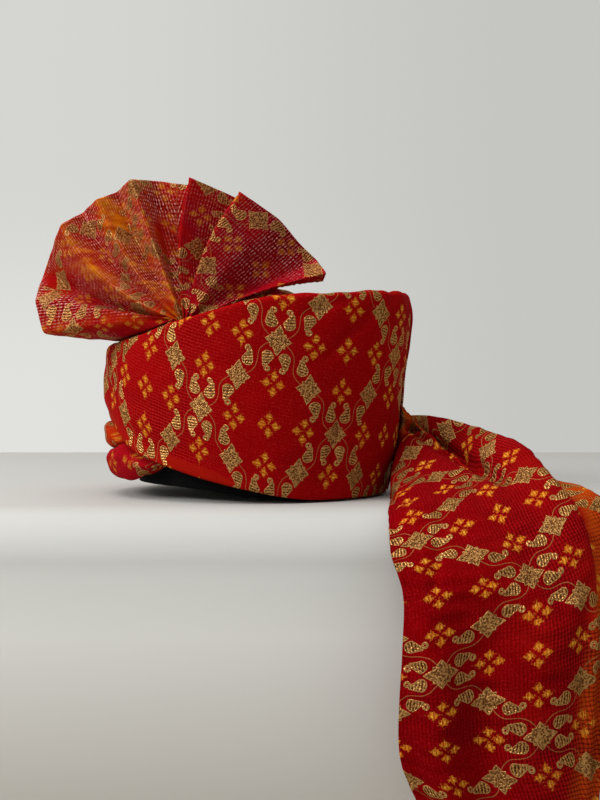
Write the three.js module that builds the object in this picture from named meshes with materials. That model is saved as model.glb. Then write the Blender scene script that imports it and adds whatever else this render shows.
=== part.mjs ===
// A ready-tied turban: a stiff cap, cloth wound round it, a pleated fan at the brow and a free tail at the nape.
// Millimetres, +Z up. The wearer looks along -X, so the near side, -Y, is the wearer's left.
// The origin is the middle of the head opening, at the mean height of its rim.

import * as THREE from 'three';
import { ParametricGeometry } from 'three/addons/geometries/ParametricGeometry.js';
import { mergeVertices } from 'three/addons/utils/BufferGeometryUtils.js';

// Driving sizes
const headLength = 188;       // inside the cap, brow to nape
const headWidth = 161;        // inside the cap, ear to ear
const capThickness = 1.5;
const wrapThickness = 2;      // a doubled layer of cloth
const sheetThickness = 1.2;   // a single layer of cloth
const gap = 0.5;              // clear space between neighbouring pieces
const lipRadius = 4;          // roll of the outer wraps' upper edge
const lipTurn = 120;          // degrees that this edge turns inward
const lipEnds = { from: 166, to: 178 };   // headings between which the roll flattens, past the brow
const lipDrop = 3.6;          // how far a tucked wrap's edge lies below its neighbour's
const crownHeight = 151.5;    // top of the gathered crown
const crownInset = 9.5;       // how far the crown's edge tucks in behind the wraps
const fanPocket = 15;         // extra room beside the fan's stem
const gatherCount = 14;
const gatherDepth = 1.8;

// How far the wound wall reaches from the upright axis at each height: over the brow, the nape and the ears.
const wallRows = [
  { z: -4, brow: 112, nape: 102, ear: 93 },
  { z: 27, brow: 118, nape: 110, ear: 99 },
  { z: 54, brow: 122, nape: 113.5, ear: 102 },
  { z: 87, brow: 123.5, nape: 116.5, ear: 104 },
  { z: 112, brow: 120, nape: 120, ear: 105 },
  { z: 141, brow: 113, nape: 122.5, ear: 105 },
  { z: 158, brow: 109, nape: 118, ear: 103 },
];

// Lower and upper edge of an outer wrap at each heading: degrees from the nape, 90 at the ear, 180 at the brow.
const wrapRows = [
  { heading: -16, lower: -1.5, upper: 156 },
  { heading: 10, lower: -1.5, upper: 154 },
  { heading: 28, lower: -1.5, upper: 152 },
  { heading: 50, lower: -1.6, upper: 149 },
  { heading: 71, lower: -0.5, upper: 145.3 },
  { heading: 89, lower: 5.2, upper: 140.5 },
  { heading: 106, lower: 13, upper: 132.5 },
  { heading: 121, lower: 21.5, upper: 125 },
  { heading: 134, lower: 29, upper: 118.8 },
  { heading: 141, lower: 34.5, upper: 116.5 },
  { heading: 147, lower: 41.5, upper: 114.8 },
  { heading: 155, lower: 49, upper: 113.6 },
  { heading: 167, lower: 58.5, upper: 112.7 },
  { heading: 180, lower: 68, upper: 111.5 },
  { heading: 208, lower: 84, upper: 105 },
];

// Heights of the two brow rolls: the lower one from foot to seam, the upper one from seam to top.
const rollRows = [
  { heading: 118, foot: 28, seam: 41, top: 46 },
  { heading: 131, foot: 20, seam: 42, top: 50 },
  { heading: 138, foot: 14, seam: 41.5, top: 52 },
  { heading: 147, foot: 9.6, seam: 39, top: 53 },
  { heading: 155, foot: 9.6, seam: 35, top: 54 },
  { heading: 166, foot: 10, seam: 32.5, top: 54 },
  { heading: 180, foot: 9, seam: 31.5, top: 54 },
];
const rollBulge = { lower: 4, upper: 2 };   // how far each roll stands out of the wall
const rollDepth = 12;                         // how far it reaches into the wall

// Height of the cap's rim, level at the nape and lifted at the brow.
const rimRows = [
  { heading: 0, z: -3 },
  { heading: 62, z: -3 },
  { heading: 90, z: 0 },
  { heading: 117, z: 5.5 },
  { heading: 145, z: 7 },
  { heading: 180, z: 7 },
];

// The fan's fold lines from left to right: angle and length from its foot, how far the rim lies behind the foot,
// and how far the line bows sideways halfway.
const fanFoot = new THREE.Vector3(-52, -80, 128);
const fanRows = [
  { line: 'reverse edge', angle: 193, length: 57, back: 40, bow: 3.5 },
  { line: 'reverse middle', angle: 189.5, length: 75, back: 32, bow: 4 },
  { line: 'lower crease', angle: 185, length: 106, back: 22, bow: -2 },
  { line: 'lower panel', angle: 171.7, length: 114, back: 24, bow: 0 },
  { line: 'first valley', angle: 159.5, length: 117.5, back: 34, bow: 8 },
  { line: 'first ridge', angle: 142.2, length: 114.5, back: 14, bow: 11 },
  { line: 'second valley', angle: 133.4, length: 114, back: 24, bow: 8 },
  { line: 'second ridge', angle: 125.8, length: 110, back: 15, bow: 6 },
  { line: 'third valley', angle: 118.4, length: 111, back: 21, bow: 3 },
  { line: 'third ridge', angle: 110.6, length: 108.2, back: 6, bow: 0 },
  { line: 'fourth valley', angle: 102.9, length: 108.4, back: 20, bow: 2 },
  { line: 'left knife back', angle: 85.5, length: 102, back: 18, bow: 4 },
  { line: 'left knife edge', angle: 88, length: 103.5, back: 7, bow: 6.5 },
  { line: 'right knife back', angle: 62.5, length: 100, back: 14, bow: 4 },
  { line: 'right knife edge', angle: 65.7, length: 99.5, back: -4, bow: 8 },
  { line: 'right panel', angle: 46.3, length: 100.6, back: 4, bow: 3 },
  { line: 'right slope', angle: 33.1, length: 102, back: 10, bow: 2 },
  { line: 'curl crease', angle: 25.5, length: 106.8, back: 14, bow: 0 },
  { line: 'curl', angle: 17.8, length: 108.7, back: 2, bow: 3 },
  { line: 'curl edge', angle: 15.5, length: 105, back: 8, bow: 5 },
];
const footPitch = 0.8;        // from one fold to the next where they are pinched
const footWave = 1.8;         // how far the pinched folds lie to and fro
const footDrop = 15;          // length of the stem below the pinch

// The tail's root lies flat between the two outer wraps: the height of each of its columns there.
// The columns run from the edge by the wall's foot over the front lobe, its crest, the crease, the rear lobe's
// ridge and its tuck to the outer selvedge.
const tailRoot = { edge: 20, front: 32, crest: 46, crease: 50, ridge: 58, tuck: 61, selvedge: 64 };
const tailRootHeadings = [-12, -3, 4];
const tailExitHeading = 12;

// The tail's sections, from where it has left the wall to the hem.
const tailRows = [
  { edge: [104, -24, 6], front: [109.5, -29, 36], crest: [127, -31, 48], crease: [133, -16, 37],
    ridge: [136, -12, 57.5], tuck: [143, 0, 42], selvedge: [144, 6, 20] },
  { edge: [99, -54, -2], front: [102, -58, 18], crest: [143, -48, 36], crease: [147, -34, 28],
    ridge: [163, -26, 51], tuck: [170, -14, 34], selvedge: [174, -8, 12] },
  { edge: [96, -90, -3], front: [99, -93, 6], crest: [152, -72, 29], crease: [157, -62, 22],
    ridge: [180, -52, 44.5], tuck: [189, -44, 30], selvedge: [196, -36, 10] },
  { edge: [93, -122, -3], front: [98, -124, 2], crest: [158, -98, 19], crease: [166, -92, 18],
    ridge: [194, -84, 35], tuck: [200, -76, 22], selvedge: [210, -70, 8] },
  { edge: [90, -154, -10], front: [98, -153, -5], crest: [150, -132, 8], crease: [172, -122, 12],
    ridge: [201, -114, 20], tuck: [202, -104, 15], selvedge: [224, -100, 13] },
  { edge: [89, -174, -26], front: [102, -173, -23], crest: [150, -164, -14], crease: [178, -152, -8],
    ridge: [212, -142, 0], tuck: [213, -130, -3], selvedge: [239, -116, 2] },
  { edge: [95, -182, -48], front: [112, -185, -46], crest: [150, -182, -42], crease: [182, -174, -38],
    ridge: [216, -162, -28], tuck: [219, -150, -32], selvedge: [238, -140, -34] },
  { edge: [94, -186, -84], front: [116, -190, -82], crest: [150, -184, -80], crease: [180, -190, -76],
    ridge: [208, -180, -72], tuck: [216, -172, -72], selvedge: [230, -166, -74] },
  { edge: [92, -187, -118], front: [117, -192, -118], crest: [148, -184, -116], crease: [178, -190, -114],
    ridge: [204, -182, -112], tuck: [213, -176, -112], selvedge: [223, -172, -113] },
  { edge: [93, -186, -148], front: [118, -190, -150], crest: [148, -184, -150], crease: [176, -189, -150],
    ridge: [202, -182, -150], tuck: [210, -178, -151], selvedge: [219, -175, -152] },
  { edge: [106, -184, -182], front: [124, -188, -186], crest: [150, -183, -190], crease: [176, -188, -193],
    ridge: [200, -182, -195], tuck: [208, -179, -196], selvedge: [216, -176, -197] },
];

const { clamp, degToRad, lerp, smoothstep } = THREE.MathUtils;

// A table's row worked out for any value of its key column: straight runs between rows, eased by their slopes.
function rowAt(rows, key, value) {
  const at = clamp(value, rows[0][key], rows[rows.length - 1][key]);
  const next = Math.max(1, rows.findIndex((row) => row[key] >= at));
  const near = (index) => rows[clamp(index, 0, rows.length - 1)];
  const [before, low, high, after] = [near(next - 2), near(next - 1), near(next), near(next + 1)];
  const span = high[key] - low[key];
  const t = (at - low[key]) / span;
  const result = {};
  for (const column of Object.keys(low).filter((name) => name !== key)) {
    const slopeLow = (high[column] - before[column]) / (high[key] - before[key]) * span;
    const slopeHigh = (after[column] - low[column]) / (after[key] - low[key]) * span;
    result[column] = low[column] * (2 * t ** 3 - 3 * t ** 2 + 1) + slopeLow * (t ** 3 - 2 * t ** 2 + t)
      + high[column] * (3 * t ** 2 - 2 * t ** 3) + slopeHigh * (t ** 3 - t ** 2);
  }
  return result;
}

// Headings past the brow belong to the other side, whose tables are the same.
const folded = (heading) => {
  const turn = ((heading % 360) + 360) % 360;
  return turn > 180 ? 360 - turn : turn;
};

// A point of the wound wall, moved outward by an offset.
function wallPoint(heading, z, offset, target = new THREE.Vector3()) {
  const turn = degToRad(heading);
  const row = rowAt(wallRows, 'z', z);
  const reach = Math.cos(turn) > 0 ? row.nape : row.brow;
  return target.set((reach + offset) * Math.cos(turn), -(row.ear + offset) * Math.sin(turn), z);
}

// A point of an ellipse round the upright axis.
function ovalPoint(heading, length, width, z, target) {
  const turn = degToRad(heading);
  return target.set(length * Math.cos(turn), -width * Math.sin(turn), z);
}

// Grid of points of a surface, row by row.
function sampled(surface, slices, stacks) {
  const { position } = new ParametricGeometry(surface, slices, stacks).attributes;
  const point = (_, index) => new THREE.Vector3().fromBufferAttribute(position, index);
  const points = Array.from({ length: position.count }, point);
  return (column, row) => points[row * (slices + 1) + column];
}

// Unit normals of a grid, from the neighbours of each point. A closed grid's last column is its first.
function gridNormal(at, column, row, slices, stacks, closed) {
  const left = closed && column === 0 ? slices - 1 : Math.max(column - 1, 0);
  const right = closed && column === slices ? 1 : Math.min(column + 1, slices);
  const along = at(right, row).clone().sub(at(left, row));
  const up = at(column, Math.min(row + 1, stacks)).clone().sub(at(column, Math.max(row - 1, 0)));
  if (along.lengthSq() < 1e-6) {
    return new THREE.Vector3(0, 0, 1);
  }
  return along.cross(up).normalize();
}

// A closed body from triangles: doubles merged, empty triangles dropped, faces turned outward.
function closedBody(positions, faces) {
  const loose = new THREE.BufferGeometry();
  loose.setAttribute('position', new THREE.Float32BufferAttribute(positions, 3));
  loose.setIndex(faces);
  const merged = mergeVertices(loose, 1e-3);
  const index = Array.from(merged.index.array);
  const kept = [];
  for (let i = 0; i < index.length; i += 3) {
    const [a, b, c] = index.slice(i, i + 3);
    if (a !== b && b !== c && c !== a) {
      kept.push(a, b, c);
    }
  }
  const at = (i) => new THREE.Vector3().fromBufferAttribute(merged.attributes.position, i);
  let volume = 0;
  for (let i = 0; i < kept.length; i += 3) {
    volume += at(kept[i]).dot(at(kept[i + 1]).cross(at(kept[i + 2])));
  }
  merged.setIndex(volume < 0 ? kept.reverse() : kept);
  merged.computeVertexNormals();
  return merged;
}

// Two triangles for each cell of a grid of vertex numbers.
function gridFaces(vertex, slices, stacks, turned) {
  const faces = [];
  for (let row = 0; row < stacks; row += 1) {
    for (let column = 0; column < slices; column += 1) {
      const [a, b] = [vertex(column, row), vertex(column + 1, row)];
      const [c, d] = [vertex(column + 1, row + 1), vertex(column, row + 1)];
      faces.push(...(turned ? [a, c, b, a, d, c] : [a, b, c, a, c, d]));
    }
  }
  return faces;
}

// A sheet of cloth with a thickness: the surface, its inner face and the hem between them.
function clothSheet(surface, slices, stacks, thickness, closed = false) {
  const at = sampled(surface, slices, stacks);
  const positions = [];
  for (const depth of [0, thickness]) {
    for (let row = 0; row <= stacks; row += 1) {
      for (let column = 0; column <= slices; column += 1) {
        const normal = gridNormal(at, column, row, slices, stacks, closed);
        positions.push(...at(column, row).clone().addScaledVector(normal, -depth).toArray());
      }
    }
  }
  const layer = (slices + 1) * (stacks + 1);
  const outer = (column, row) => row * (slices + 1) + column;
  const inner = (column, row) => layer + outer(column, row);
  const faces = [...gridFaces(outer, slices, stacks, false), ...gridFaces(inner, slices, stacks, true)];
  const foot = (column, side) => (side ? outer(column, 0) : inner(column, 0));
  const head = (column, side) => (side ? inner(column, stacks) : outer(column, stacks));
  faces.push(...gridFaces(foot, slices, 1, false), ...gridFaces(head, slices, 1, false));
  if (!closed) {
    const start = (row, side) => (side ? inner(0, row) : outer(0, row));
    const end = (row, side) => (side ? outer(slices, row) : inner(slices, row));
    faces.push(...gridFaces(start, stacks, 1, false), ...gridFaces(end, stacks, 1, false));
  }
  return closedBody(positions, faces);
}

// A solid whose closed section runs along its length. Its ends narrow to a point or it closes on itself.
function closedLoft(surface, slices, stacks) {
  const at = sampled(surface, slices, stacks);
  const positions = [];
  for (let row = 0; row <= stacks; row += 1) {
    for (let column = 0; column <= slices; column += 1) {
      positions.push(...at(column, row).toArray());
    }
  }
  return closedBody(positions, gridFaces((column, row) => row * (slices + 1) + column, slices, stacks, false));
}

function named(name, geometry, color, roughness, metalness = 0) {
  const mesh = new THREE.Mesh(geometry, new THREE.MeshStandardMaterial({ color, roughness, metalness }));
  mesh.name = name;
  return mesh;
}

const upperEdge = (heading) => rowAt(wrapRows, 'heading', folded(heading)).upper;
const lowerEdge = (heading) => rowAt(wrapRows, 'heading', folded(heading)).lower;

// An outer wrap: up the wall from its selvedge, then over a rolled lip. Where it is tucked under its neighbour it
// lies deeper and lower, and deepest above footHeight, where the tail's root lies between the two.
// side is 1 on the near side and -1 on the far side.
function outerWrap(side, from, to, tuckFrom, tuckTo, rootDepth) {
  const footHeight = 12;
  const deepHeight = 20;
  const lipShare = 0.25;
  return (u, v, target) => {
    const heading = lerp(from, to, u);
    const edges = rowAt(wrapRows, 'heading', heading);
    const tucked = tuckTo > tuckFrom ? smoothstep(heading, tuckFrom, tuckTo)
      : 1 - smoothstep(heading, tuckTo, tuckFrom);
    const top = edges.upper - lipDrop * tucked;
    const lower = edges.lower + wrapThickness * tucked;
    const z = lerp(lower, top - lipRadius, Math.min(1, v / (1 - lipShare)));
    const layerDepth = wrapThickness + gap + rootDepth * smoothstep(z, footHeight, deepHeight);
    const deep = -layerDepth * tucked;
    if (v <= 1 - lipShare) {
      wallPoint(side * heading, z, deep, target);
    } else {
      const turn = degToRad(lipTurn) * (v - 1 + lipShare) / lipShare;
      const rolled = 1 - smoothstep(heading, lipEnds.from, lipEnds.to);
      const inward = lipRadius * (1 - Math.cos(turn)) * rolled;
      const rise = lipRadius * lerp(turn / degToRad(lipTurn), Math.sin(turn), rolled);
      wallPoint(side * heading, top - lipRadius + rise, deep - inward, target);
    }
  };
}

// Black stiff cap: straight sides from its rim to a shoulder, then a low dome.
function capGeometry() {
  const sideShare = 0.4;
  const domePower = 2.6;
  const shoulderDrop = 12;   // from the wraps' upper edge to the cap's shoulder
  const apex = crownHeight - 5;
  const length = headLength / 2 + capThickness;
  const width = headWidth / 2 + capThickness;
  const surface = (u, v, target) => {
    const heading = 360 * (1 - u);
    const shoulder = upperEdge(heading) - shoulderDrop;
    if (v <= sideShare) {
      const rim = rowAt(rimRows, 'heading', folded(heading)).z;
      return ovalPoint(heading, length, width, lerp(rim, shoulder, v / sideShare), target);
    }
    const out = 1 - (v - sideShare) / (1 - sideShare);
    return ovalPoint(heading, length * out, width * out, lerp(apex, shoulder, out ** domePower), target);
  };
  return clothSheet(surface, 36, 8, capThickness, true);
}

// The wound inner turns: a thick ring between the cap and the outer wraps, with room for what is tucked into it.
function layersGeometry() {
  const capLength = headLength / 2 + capThickness + gap;
  const capWidth = headWidth / 2 + capThickness + gap;
  const rollStart = rollRows[0].heading;
  const browLap = 2.8;                         // room for the far wrap's end, tucked in at the brow
  const napeLap = { foot: 2.5, above: 6 };     // room for the near wrap's end at the nape, and for the tail's root
  const topDrop = 11;
  const underWraps = (heading, z) => {
    const atBrow = smoothstep(folded(heading), 134, 142);
    const atNape = 1 - smoothstep(folded(heading), 20, 30);
    const lap = lerp(napeLap.foot, napeLap.above, smoothstep(z, 11, 19));
    return wrapThickness + 2 * gap + browLap * atBrow + lap * atNape;
  };
  const besideRolls = (heading, z) => lerp(underWraps(heading, z), rollDepth + gap,
    smoothstep(folded(heading), rollStart - 10, rollStart - 3));
  // The ring's section: its outer face from foot to top, then its inner face back down.
  const section = (heading) => {
    const rolls = rowAt(rollRows, 'heading', Math.max(folded(heading), rollStart));
    const pocket = fanPocket * smoothstep(heading, 104, 110) * (1 - smoothstep(heading, 126, 132));
    const foot = Math.min(lowerEdge(heading), rolls.foot) + 4;
    const top = upperEdge(heading) - topDrop - pocket;
    const shelf = rolls.top + 1.5;
    return [
      { z: foot, deep: besideRolls }, { z: (foot + shelf) / 2, deep: besideRolls }, { z: shelf, deep: besideRolls },
      { z: shelf + 3, deep: underWraps }, { z: (shelf + top) / 2, deep: underWraps }, { z: top, deep: underWraps },
      { z: top }, { z: (foot + top) / 2 }, { z: foot }, { z: foot, deep: besideRolls },
    ];
  };
  const sectionSides = section(0).length - 1;
  const surface = (u, v, target) => {
    const heading = 360 * v;
    const corner = section(heading)[Math.round(u * sectionSides)];
    return corner.deep ? wallPoint(heading, corner.z, -corner.deep(heading, corner.z), target)
      : ovalPoint(heading, capLength, capWidth, corner.z, target);
  };
  return closedLoft(surface, sectionSides, 48);
}

// A padded fold at the brow. It bulges where it shows and flattens where the outer wraps cover it.
function rollGeometry(low, high, bulge) {
  const half = rollRows[0].heading;
  const surface = (u, v, target) => {
    const heading = lerp(half, 360 - half, v);
    const row = rowAt(rollRows, 'heading', folded(heading));
    const taper = Math.sqrt(Math.max(0, 1 - (2 * v - 1) ** 8));
    const turn = -2 * Math.PI * u;
    const middle = (row[low] + row[high]) / 2;
    const tall = (row[high] - row[low] - gap) / 2 * taper;
    const z = middle + tall * Math.sign(Math.sin(turn)) * Math.abs(Math.sin(turn)) ** 0.8;
    const covered = smoothstep(z, lowerEdge(heading) - 8, lowerEdge(heading) - 2);
    const face = lerp(bulge, -(2 * wrapThickness + 3 * gap), covered);
    const deep = (face + rollDepth) / 2 * taper;
    wallPoint(heading, z, (face - rollDepth) / 2 + deep * Math.cos(turn), target);
  };
  return closedLoft(surface, 14, 24);
}

// Gathered cloth over the crown: a low dome whose edge tucks in under the outer wraps' lips.
function crownGeometry() {
  const edgeDrop = 8;
  const domePower = 2.4;
  const surface = (u, v, target) => {
    const heading = 360 * (1 - u);
    const out = 1 - v;
    const inset = crownInset + fanPocket * smoothstep(heading, 96, 106) * (1 - smoothstep(heading, 130, 140));
    const edge = upperEdge(heading) - edgeDrop;
    const wave = gatherDepth * Math.cos(degToRad(heading * gatherCount)) * 4 * out * (1 - out);
    wallPoint(heading, edge, -inset, target);
    target.set(target.x * out, target.y * out, lerp(crownHeight, edge, out ** domePower) + wave);
  };
  return clothSheet(surface, gatherCount * 4, 6, sheetThickness, true);
}

// A point of one of the fan's fold lines; reach runs from 0 at the pinch to 1 at the rim, and below 0 in the stem.
function foldPoint(index, reach) {
  const row = fanRows[index];
  const pinched = new THREE.Vector3(
    (index - (fanRows.length - 1) / 2) * footPitch,
    footWave * (index % 2 ? -1 : 1),
    0,
  ).add(fanFoot);
  if (reach < 0) {
    return pinched.setZ(fanFoot.z + footDrop * reach);
  }
  const angle = degToRad(row.angle);
  const along = new THREE.Vector3(Math.cos(angle), 0, Math.sin(angle));
  const aside = new THREE.Vector3(-Math.sin(angle), 0, Math.cos(angle));
  const rim = fanFoot.clone().addScaledVector(along, row.length).add(new THREE.Vector3(0, row.back, 0));
  return pinched.lerp(rim, reach).addScaledVector(aside, row.bow * 4 * reach * (1 - reach));
}

// The fan: straight cloth between one fold line and the next.
function fanGeometry() {
  const folds = fanRows.length - 1;
  const stem = 0.14;
  const surface = (u, v, target) => {
    const place = u * folds;
    const index = Math.min(Math.floor(place + 1e-9), folds - 1);
    const reach = v < stem ? v / stem - 1 : (v - stem) / (1 - stem);
    target.copy(foldPoint(index, reach)).lerp(foldPoint(index + 1, reach), place - index);
  };
  return clothSheet(surface, folds * 2, 9, sheetThickness / 2);
}

// The tail: smooth curves through its sections, both along it and across. It starts under the far wrap's end.
function tailGeometry() {
  const under = -(wrapThickness + 2 * gap + sheetThickness);
  const columns = Object.entries(tailRoot).map(([name, height]) => {
    const root = tailRootHeadings.map((heading) => wallPoint(heading, height, under));
    const exit = wallPoint(tailExitHeading, height, sheetThickness + gap);
    const rest = tailRows.map((row) => new THREE.Vector3(...row[name]));
    return new THREE.CatmullRomCurve3([...root, exit, ...rest], false, 'centripetal');
  });
  const surface = (u, v, target) => {
    const section = new THREE.CatmullRomCurve3(columns.map((curve) => curve.getPoint(v)), false, 'centripetal');
    target.copy(section.getPoint(1 - u));
  };
  return clothSheet(surface, 12, 30, sheetThickness);
}

const nearEnds = { from: -16, to: 205, tuckFrom: 16, tuckTo: 6, rootDepth: 3.5 };
const farEnds = { from: -4, to: 205, tuckFrom: 145, tuckTo: 151, rootDepth: 0 };

function wrapGeometry(side, ends, slices) {
  const surface = outerWrap(side, ends.from, ends.to, ends.tuckFrom, ends.tuckTo, ends.rootDepth);
  const turned = (u, v, target) => surface(side > 0 ? 1 - u : u, v, target);
  return clothSheet(turned, slices, 10, wrapThickness);
}

const group = new THREE.Group();
group.add(
  named('inner_cap', capGeometry(), 0x101010, 0.9),
  named('inner_layers', layersGeometry(), 0x6e1214, 0.9),
  named('near_wrap', wrapGeometry(1, nearEnds, 44), 0xa81418, 0.75),
  named('far_wrap', wrapGeometry(-1, farEnds, 40), 0xa81418, 0.75),
  named('brow_roll_upper', rollGeometry('seam', 'top', rollBulge.upper), 0xc9701f, 0.7),
  named('brow_roll_lower', rollGeometry('foot', 'seam', rollBulge.lower), 0x9a1526, 0.75),
  named('crown_top', crownGeometry(), 0x7d1418, 0.8),
  named('turra_fan', fanGeometry(), 0xc23a22, 0.7),
  named('tail', tailGeometry(), 0xa01216, 0.75),
);

export default group;
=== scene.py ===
import bmesh
import bpy
import numpy as np
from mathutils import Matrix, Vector


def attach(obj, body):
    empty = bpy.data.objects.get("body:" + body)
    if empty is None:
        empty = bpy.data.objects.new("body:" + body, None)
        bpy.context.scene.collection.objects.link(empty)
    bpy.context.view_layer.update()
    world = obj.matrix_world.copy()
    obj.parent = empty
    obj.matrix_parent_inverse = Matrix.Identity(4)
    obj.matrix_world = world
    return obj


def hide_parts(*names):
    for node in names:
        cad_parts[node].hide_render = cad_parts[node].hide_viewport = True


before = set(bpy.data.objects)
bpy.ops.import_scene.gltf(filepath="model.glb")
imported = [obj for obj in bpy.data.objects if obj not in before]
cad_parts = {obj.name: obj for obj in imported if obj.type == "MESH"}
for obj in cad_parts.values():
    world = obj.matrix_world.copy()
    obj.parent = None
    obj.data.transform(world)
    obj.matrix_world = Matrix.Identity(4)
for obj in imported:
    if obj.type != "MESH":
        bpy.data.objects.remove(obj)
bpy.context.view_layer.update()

mm = 0.001

shared = {
    "wrapThickness": 2.0, "sheetThickness": 1.2, "gap": 0.5,
    "lipRadius": 4.0, "lipTurn": 120.0, "lipEnds": (166.0, 178.0),
    "crownHeight": 151.5, "headLength": 188.0, "headWidth": 161.0, "capThickness": 1.5,
}

# height, then how far the wound wall reaches over the brow, the nape and the ears
wallRows = np.array([
    (-4, 112, 102, 93), (27, 118, 110, 99), (54, 122, 113.5, 102), (87, 123.5, 116.5, 104),
    (112, 120, 120, 105), (141, 113, 122.5, 105), (158, 109, 118, 103),
], float)

# heading, then the lower and the upper edge of an outer wrap
wrapRows = np.array([
    (-16, -1.5, 156), (10, -1.5, 154), (28, -1.5, 152), (50, -1.6, 149), (71, -0.5, 145.3),
    (89, 5.2, 140.5), (106, 13, 132.5), (121, 21.5, 125), (134, 29, 118.8), (141, 34.5, 116.5),
    (147, 41.5, 114.8), (155, 49, 113.6), (167, 58.5, 112.7), (180, 68, 111.5), (208, 84, 105),
], float)

# heading, then the foot, the seam and the top of the two brow rolls
rollRows = np.array([
    (118, 28, 41, 46), (131, 20, 42, 50), (138, 14, 41.5, 52), (147, 9.6, 39, 53), (155, 9.6, 35, 54),
    (166, 10, 32.5, 54), (180, 9, 31.5, 54),
], float)

# heading, then the height of the cap's rim
rimRows = np.array([(0, -3), (62, -3), (90, 0), (117, 5.5), (145, 7), (180, 7)], float)


# Surfaces

# a table's columns for any value of its first one: cubic pieces whose slopes follow the neighbouring rows
def tableAt(rows, at):
    key, value = rows[:, 0], rows[:, 1:]
    at = np.clip(at, key[0], key[-1])
    high = np.clip(np.searchsorted(key, at), 1, len(key) - 1)
    low = high - 1
    before, after = np.maximum(low - 1, 0), np.minimum(high + 1, len(key) - 1)
    span = key[high] - key[low]
    t = ((at - key[low]) / span)[..., None]
    slopeLow = (value[high] - value[before]) * (span / (key[high] - key[before]))[..., None]
    slopeHigh = (value[after] - value[low]) * (span / (key[after] - key[low]))[..., None]
    found = (value[low] * (2 * t ** 3 - 3 * t ** 2 + 1) + slopeLow * (t ** 3 - 2 * t ** 2 + t)
             + value[high] * (3 * t ** 2 - 2 * t ** 3) + slopeHigh * (t ** 3 - t ** 2))
    return np.moveaxis(found, -1, 0)


# 0 below low and 1 above high, with 3t^2 - 2t^3 between them
def ease(value, low, high):
    t = np.clip((value - low) / (high - low), 0, 1)
    return t * t * (3 - 2 * t)


def lerp(a, b, t):
    return a + (b - a) * t


# headings past the brow belong to the other side, whose tables are the same
def folded(heading):
    turn = np.mod(heading, 360)
    return np.where(turn > 180, 360 - turn, turn)


# a point of the wound wall: an ellipse at its height, half of it with the brow's reach and half with the nape's
def wallPoint(heading, z, offset=0.0):
    turn = np.radians(heading)
    brow, nape, ear = tableAt(wallRows, z)
    reach = np.where(np.cos(turn) > 0, nape, brow)
    return np.stack([(reach + offset) * np.cos(turn), -(ear + offset) * np.sin(turn), z + 0 * turn], -1)


# a point of an ellipse round the upright axis
def ovalPoint(heading, length, width, z):
    turn = np.radians(heading)
    return np.stack([length * np.cos(turn), -width * np.sin(turn), z + 0 * turn], -1)


# centripetal curve through points along the first axis: cubic pieces, slopes weighted by the distances' roots
def curveThrough(points, at):
    padded = np.concatenate([2 * points[:1] - points[1:2], points, 2 * points[-1:] - points[-2:-1]])
    place = np.clip(at, 0, 1) * (len(points) - 1)
    low = np.minimum(place.astype(int), len(points) - 2)
    t = (place - low).reshape((-1,) + (1,) * (points.ndim - 1))
    a, b, c, d = (padded[low + k] for k in range(4))
    ab, bc, cd = (np.sqrt(np.maximum(np.linalg.norm(q - p, axis=-1, keepdims=True), 1e-4))
                  for p, q in ((a, b), (b, c), (c, d)))
    slopeLow = ((b - a) / ab - (c - a) / (ab + bc) + (c - b) / bc) * bc
    slopeHigh = ((c - b) / bc - (d - b) / (bc + cd) + (d - c) / cd) * bc
    return (b * (2 * t ** 3 - 3 * t ** 2 + 1) + slopeLow * (t ** 3 - 2 * t ** 2 + t)
            + c * (3 * t ** 2 - 2 * t ** 3) + slopeHigh * (t ** 3 - t ** 2))


# a sum of plane waves with scattered directions, about -1 to 1, for uneven cloth
def uneven(x, y, pitch, seed, count=7):
    rng = np.random.default_rng(seed)
    turns, phases = rng.uniform(0, 2 * np.pi, (2, count))
    pitches = pitch * rng.uniform(0.7, 1.5, count)
    total = sum(np.sin((x * np.cos(t) + y * np.sin(t)) * 2 * np.pi / p + f)
                for t, f, p in zip(turns, phases, pitches))
    return total / np.sqrt(2 * count)


# sum of grooves: each runs straight from one place to another, is a bell curve across, and fades at its ends
def grooves(x, y, rows):
    total = np.zeros(np.broadcast(x, y).shape)
    for fromX, fromY, toX, toY, depth, width in rows:
        alongX, alongY = toX - fromX, toY - fromY
        length = np.hypot(alongX, alongY)
        along = ((x - fromX) * alongX + (y - fromY) * alongY) / length ** 2
        across = ((x - fromX) * alongY - (y - fromY) * alongX) / length
        ends = ease(along, -0.15, 0.2) * ease(1 - along, -0.15, 0.2)
        total = total - depth * np.exp(-(across / width) ** 2) * ends
    return total


# distance run along one axis of a grid, from its first row
def arcLength(points, axis):
    steps = np.linalg.norm(np.diff(points, axis=axis), axis=-1)
    start = np.zeros_like(np.take(steps, [0], axis))
    return np.concatenate([start, np.cumsum(steps, axis)], axis)


# unit normals of a grid of points, from the run of its two axes
def normals(points, closed=False):
    along = np.gradient(points, axis=1)
    if closed:
        along[:, [0, -1]] = (points[:, [1, 1]] - points[:, [-2, -2]]) / 2
    across = np.gradient(points, axis=0)
    found = np.cross(along, across)
    return found / np.maximum(np.linalg.norm(found, axis=-1, keepdims=True), 1e-9)


# each round moves a column halfway to the middle of its two neighbours; the first and last stay
def eased(points, rounds):
    for _ in range(rounds):
        points[:, 1:-1] = points[:, 1:-1] / 2 + (points[:, :-2] + points[:, 2:]) / 4
    return points


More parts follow.
